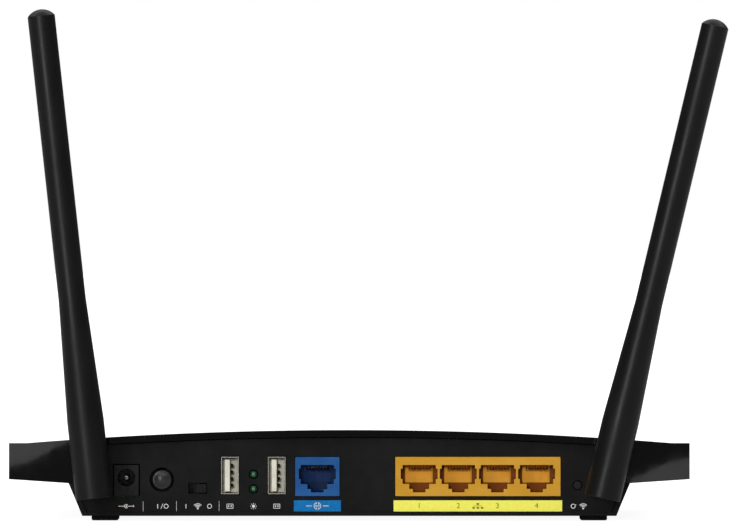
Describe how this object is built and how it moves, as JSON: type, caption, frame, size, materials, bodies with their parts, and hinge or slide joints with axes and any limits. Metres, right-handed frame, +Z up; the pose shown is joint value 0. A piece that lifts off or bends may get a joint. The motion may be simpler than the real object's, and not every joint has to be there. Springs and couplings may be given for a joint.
{
  "type": "wireless router",
  "caption": "Desk-top wireless router with a crowned glossy cover, rear network and USB sockets, buttons, and two antennas that fold and swivel.",
  "frame": {"origin": "on the surface that the feet stand on, under the middle of the casing", "axes": "+Z up, -Y out of the socket side, +X to the right when facing the sockets"},
  "size_m": [0.2559, 0.1864, 0.182],
  "materials": {
    "cover_gloss": "high gloss moulded",
    "case_matte": "fine texture",
    "panel_matte": "fine texture",
    "foot_rubber": "matte",
    "screw_steel": "zinc plated",
    "rating_film": "satin film",
    "label_blue": "printed film",
    "label_yellow": "printed film",
    "board_green": "solder mask",
    "jack_blue": "moulded",
    "jack_orange": "moulded",
    "contact_gold": "gold plated",
    "usb_steel": "tin plated",
    "usb_white": "moulded",
    "black_plastic": "moulded",
    "cap_grey": "satin",
    "nickel": "nickel plated",
    "led_green": "clear tinted",
    "guide_clear": "clear acrylic",
    "led_white": "ceramic package",
    "antenna_matte": "satin moulded",
    "element_copper": "bare copper",
    "lead_sheath": "extruded",
    "tin_plate": "tin plated",
    "chip_black": "moulded epoxy",
    "sink_aluminium": "extruded",
    "capacitor_sleeve": "shrink sleeve",
    "ferrite": "pressed"
  },
  "bodies": {
    "casing": {"top_cover": "cover_gloss", "bottom_case": "case_matte", "rear_panel": "panel_matte", "rubber_feet": "foot_rubber", "case_screws": "screw_steel", "rating_label": "rating_film", "internet_label": "label_blue", "ethernet_label": "label_yellow", "main_board": "board_green", "board_screws": "screw_steel", "wan_jack": "jack_blue", "wan_contacts": "contact_gold", "lan_jack": "jack_orange", "lan_contacts": "contact_gold", "usb_shell_1": "usb_steel", "usb_tongue_1": "usb_white", "usb_contacts_1": "contact_gold", "usb_shell_2": "usb_steel", "usb_tongue_2": "usb_white", "usb_contacts_2": "contact_gold", "dc_jack": "black_plastic", "dc_pin": "nickel", "power_switch": "black_plastic", "wireless_switch": "tin_plate", "reset_switch": "black_plastic", "led_holder": "black_plastic", "usb_led_upper": "led_green", "usb_led_lower": "led_green", "light_guide": "guide_clear", "status_leds": "led_white", "antenna_jack_left": "contact_gold", "antenna_jack_right": "contact_gold", "jack_nut_left": "nickel", "jack_nut_right": "nickel", "coupling_nut_left": "antenna_matte", "coupling_nut_right": "antenna_matte", "antenna_lead_left": "lead_sheath", "antenna_lead_right": "lead_sheath", "main_shield": "tin_plate", "radio_shield_left": "tin_plate", "radio_shield_right": "tin_plate", "processor_chip": "chip_black", "memory_chips": "chip_black", "switch_chip": "chip_black", "heat_sink": "sink_aluminium", "capacitors": "capacitor_sleeve", "inductors": "ferrite", "transformers": "chip_black"},
    "power_button": {"power_button": "cap_grey"},
    "reset_button": {"reset_button": "black_plastic"},
    "wireless_lever": {"wireless_lever": "black_plastic"},
    "left_knuckle": {"antenna_knuckle_left": "antenna_matte"},
    "right_knuckle": {"antenna_knuckle_right": "antenna_matte"},
    "left_mast": {"antenna_mast_left": "antenna_matte", "antenna_element_left": "element_copper", "hinge_pin_left": "screw_steel"},
    "right_mast": {"antenna_mast_right": "antenna_matte", "antenna_element_right": "element_copper", "hinge_pin_right": "screw_steel"}
  },
  "joints": [
    {"name": "left_swivel", "type": "hinge", "parent": "casing", "child": "left_knuckle", "pos_m": [-0.0911, -0.0996, 0.0145], "axis": [0, 1, 0], "range_deg": [-83.75, 96.25]},
    {"name": "left_fold", "type": "hinge", "parent": "left_knuckle", "child": "left_mast", "pos_m": [-0.0911, -0.0996, 0.0145], "axis": [0.9941, 0, 0.1089], "range_deg": [0, 90]},
    {"name": "right_swivel", "type": "hinge", "parent": "casing", "child": "right_knuckle", "pos_m": [0.0911, -0.0996, 0.0145], "axis": [0, 1, 0], "range_deg": [-103.45, 76.55]},
    {"name": "right_fold", "type": "hinge", "parent": "right_knuckle", "child": "right_mast", "pos_m": [0.0911, -0.0996, 0.0145], "axis": [0.9726, 0, -0.2326], "range_deg": [0, 90]},
    {"name": "power_button_press", "type": "slide", "parent": "casing", "child": "power_button", "axis": [0, 1, 0], "range_m": [0, 0.002], "stiffness_N_per_m": 1000, "springref_m": -0.0005},
    {"name": "reset_button_press", "type": "slide", "parent": "casing", "child": "reset_button", "axis": [0, 1, 0], "range_m": [0, 0.0004], "stiffness_N_per_m": 2500, "springref_m": -0.0002},
    {"name": "wireless_lever_slide", "type": "slide", "parent": "casing", "child": "wireless_lever", "axis": [-1, 0, 0], "range_m": [0, 0.003]}
  ]
}
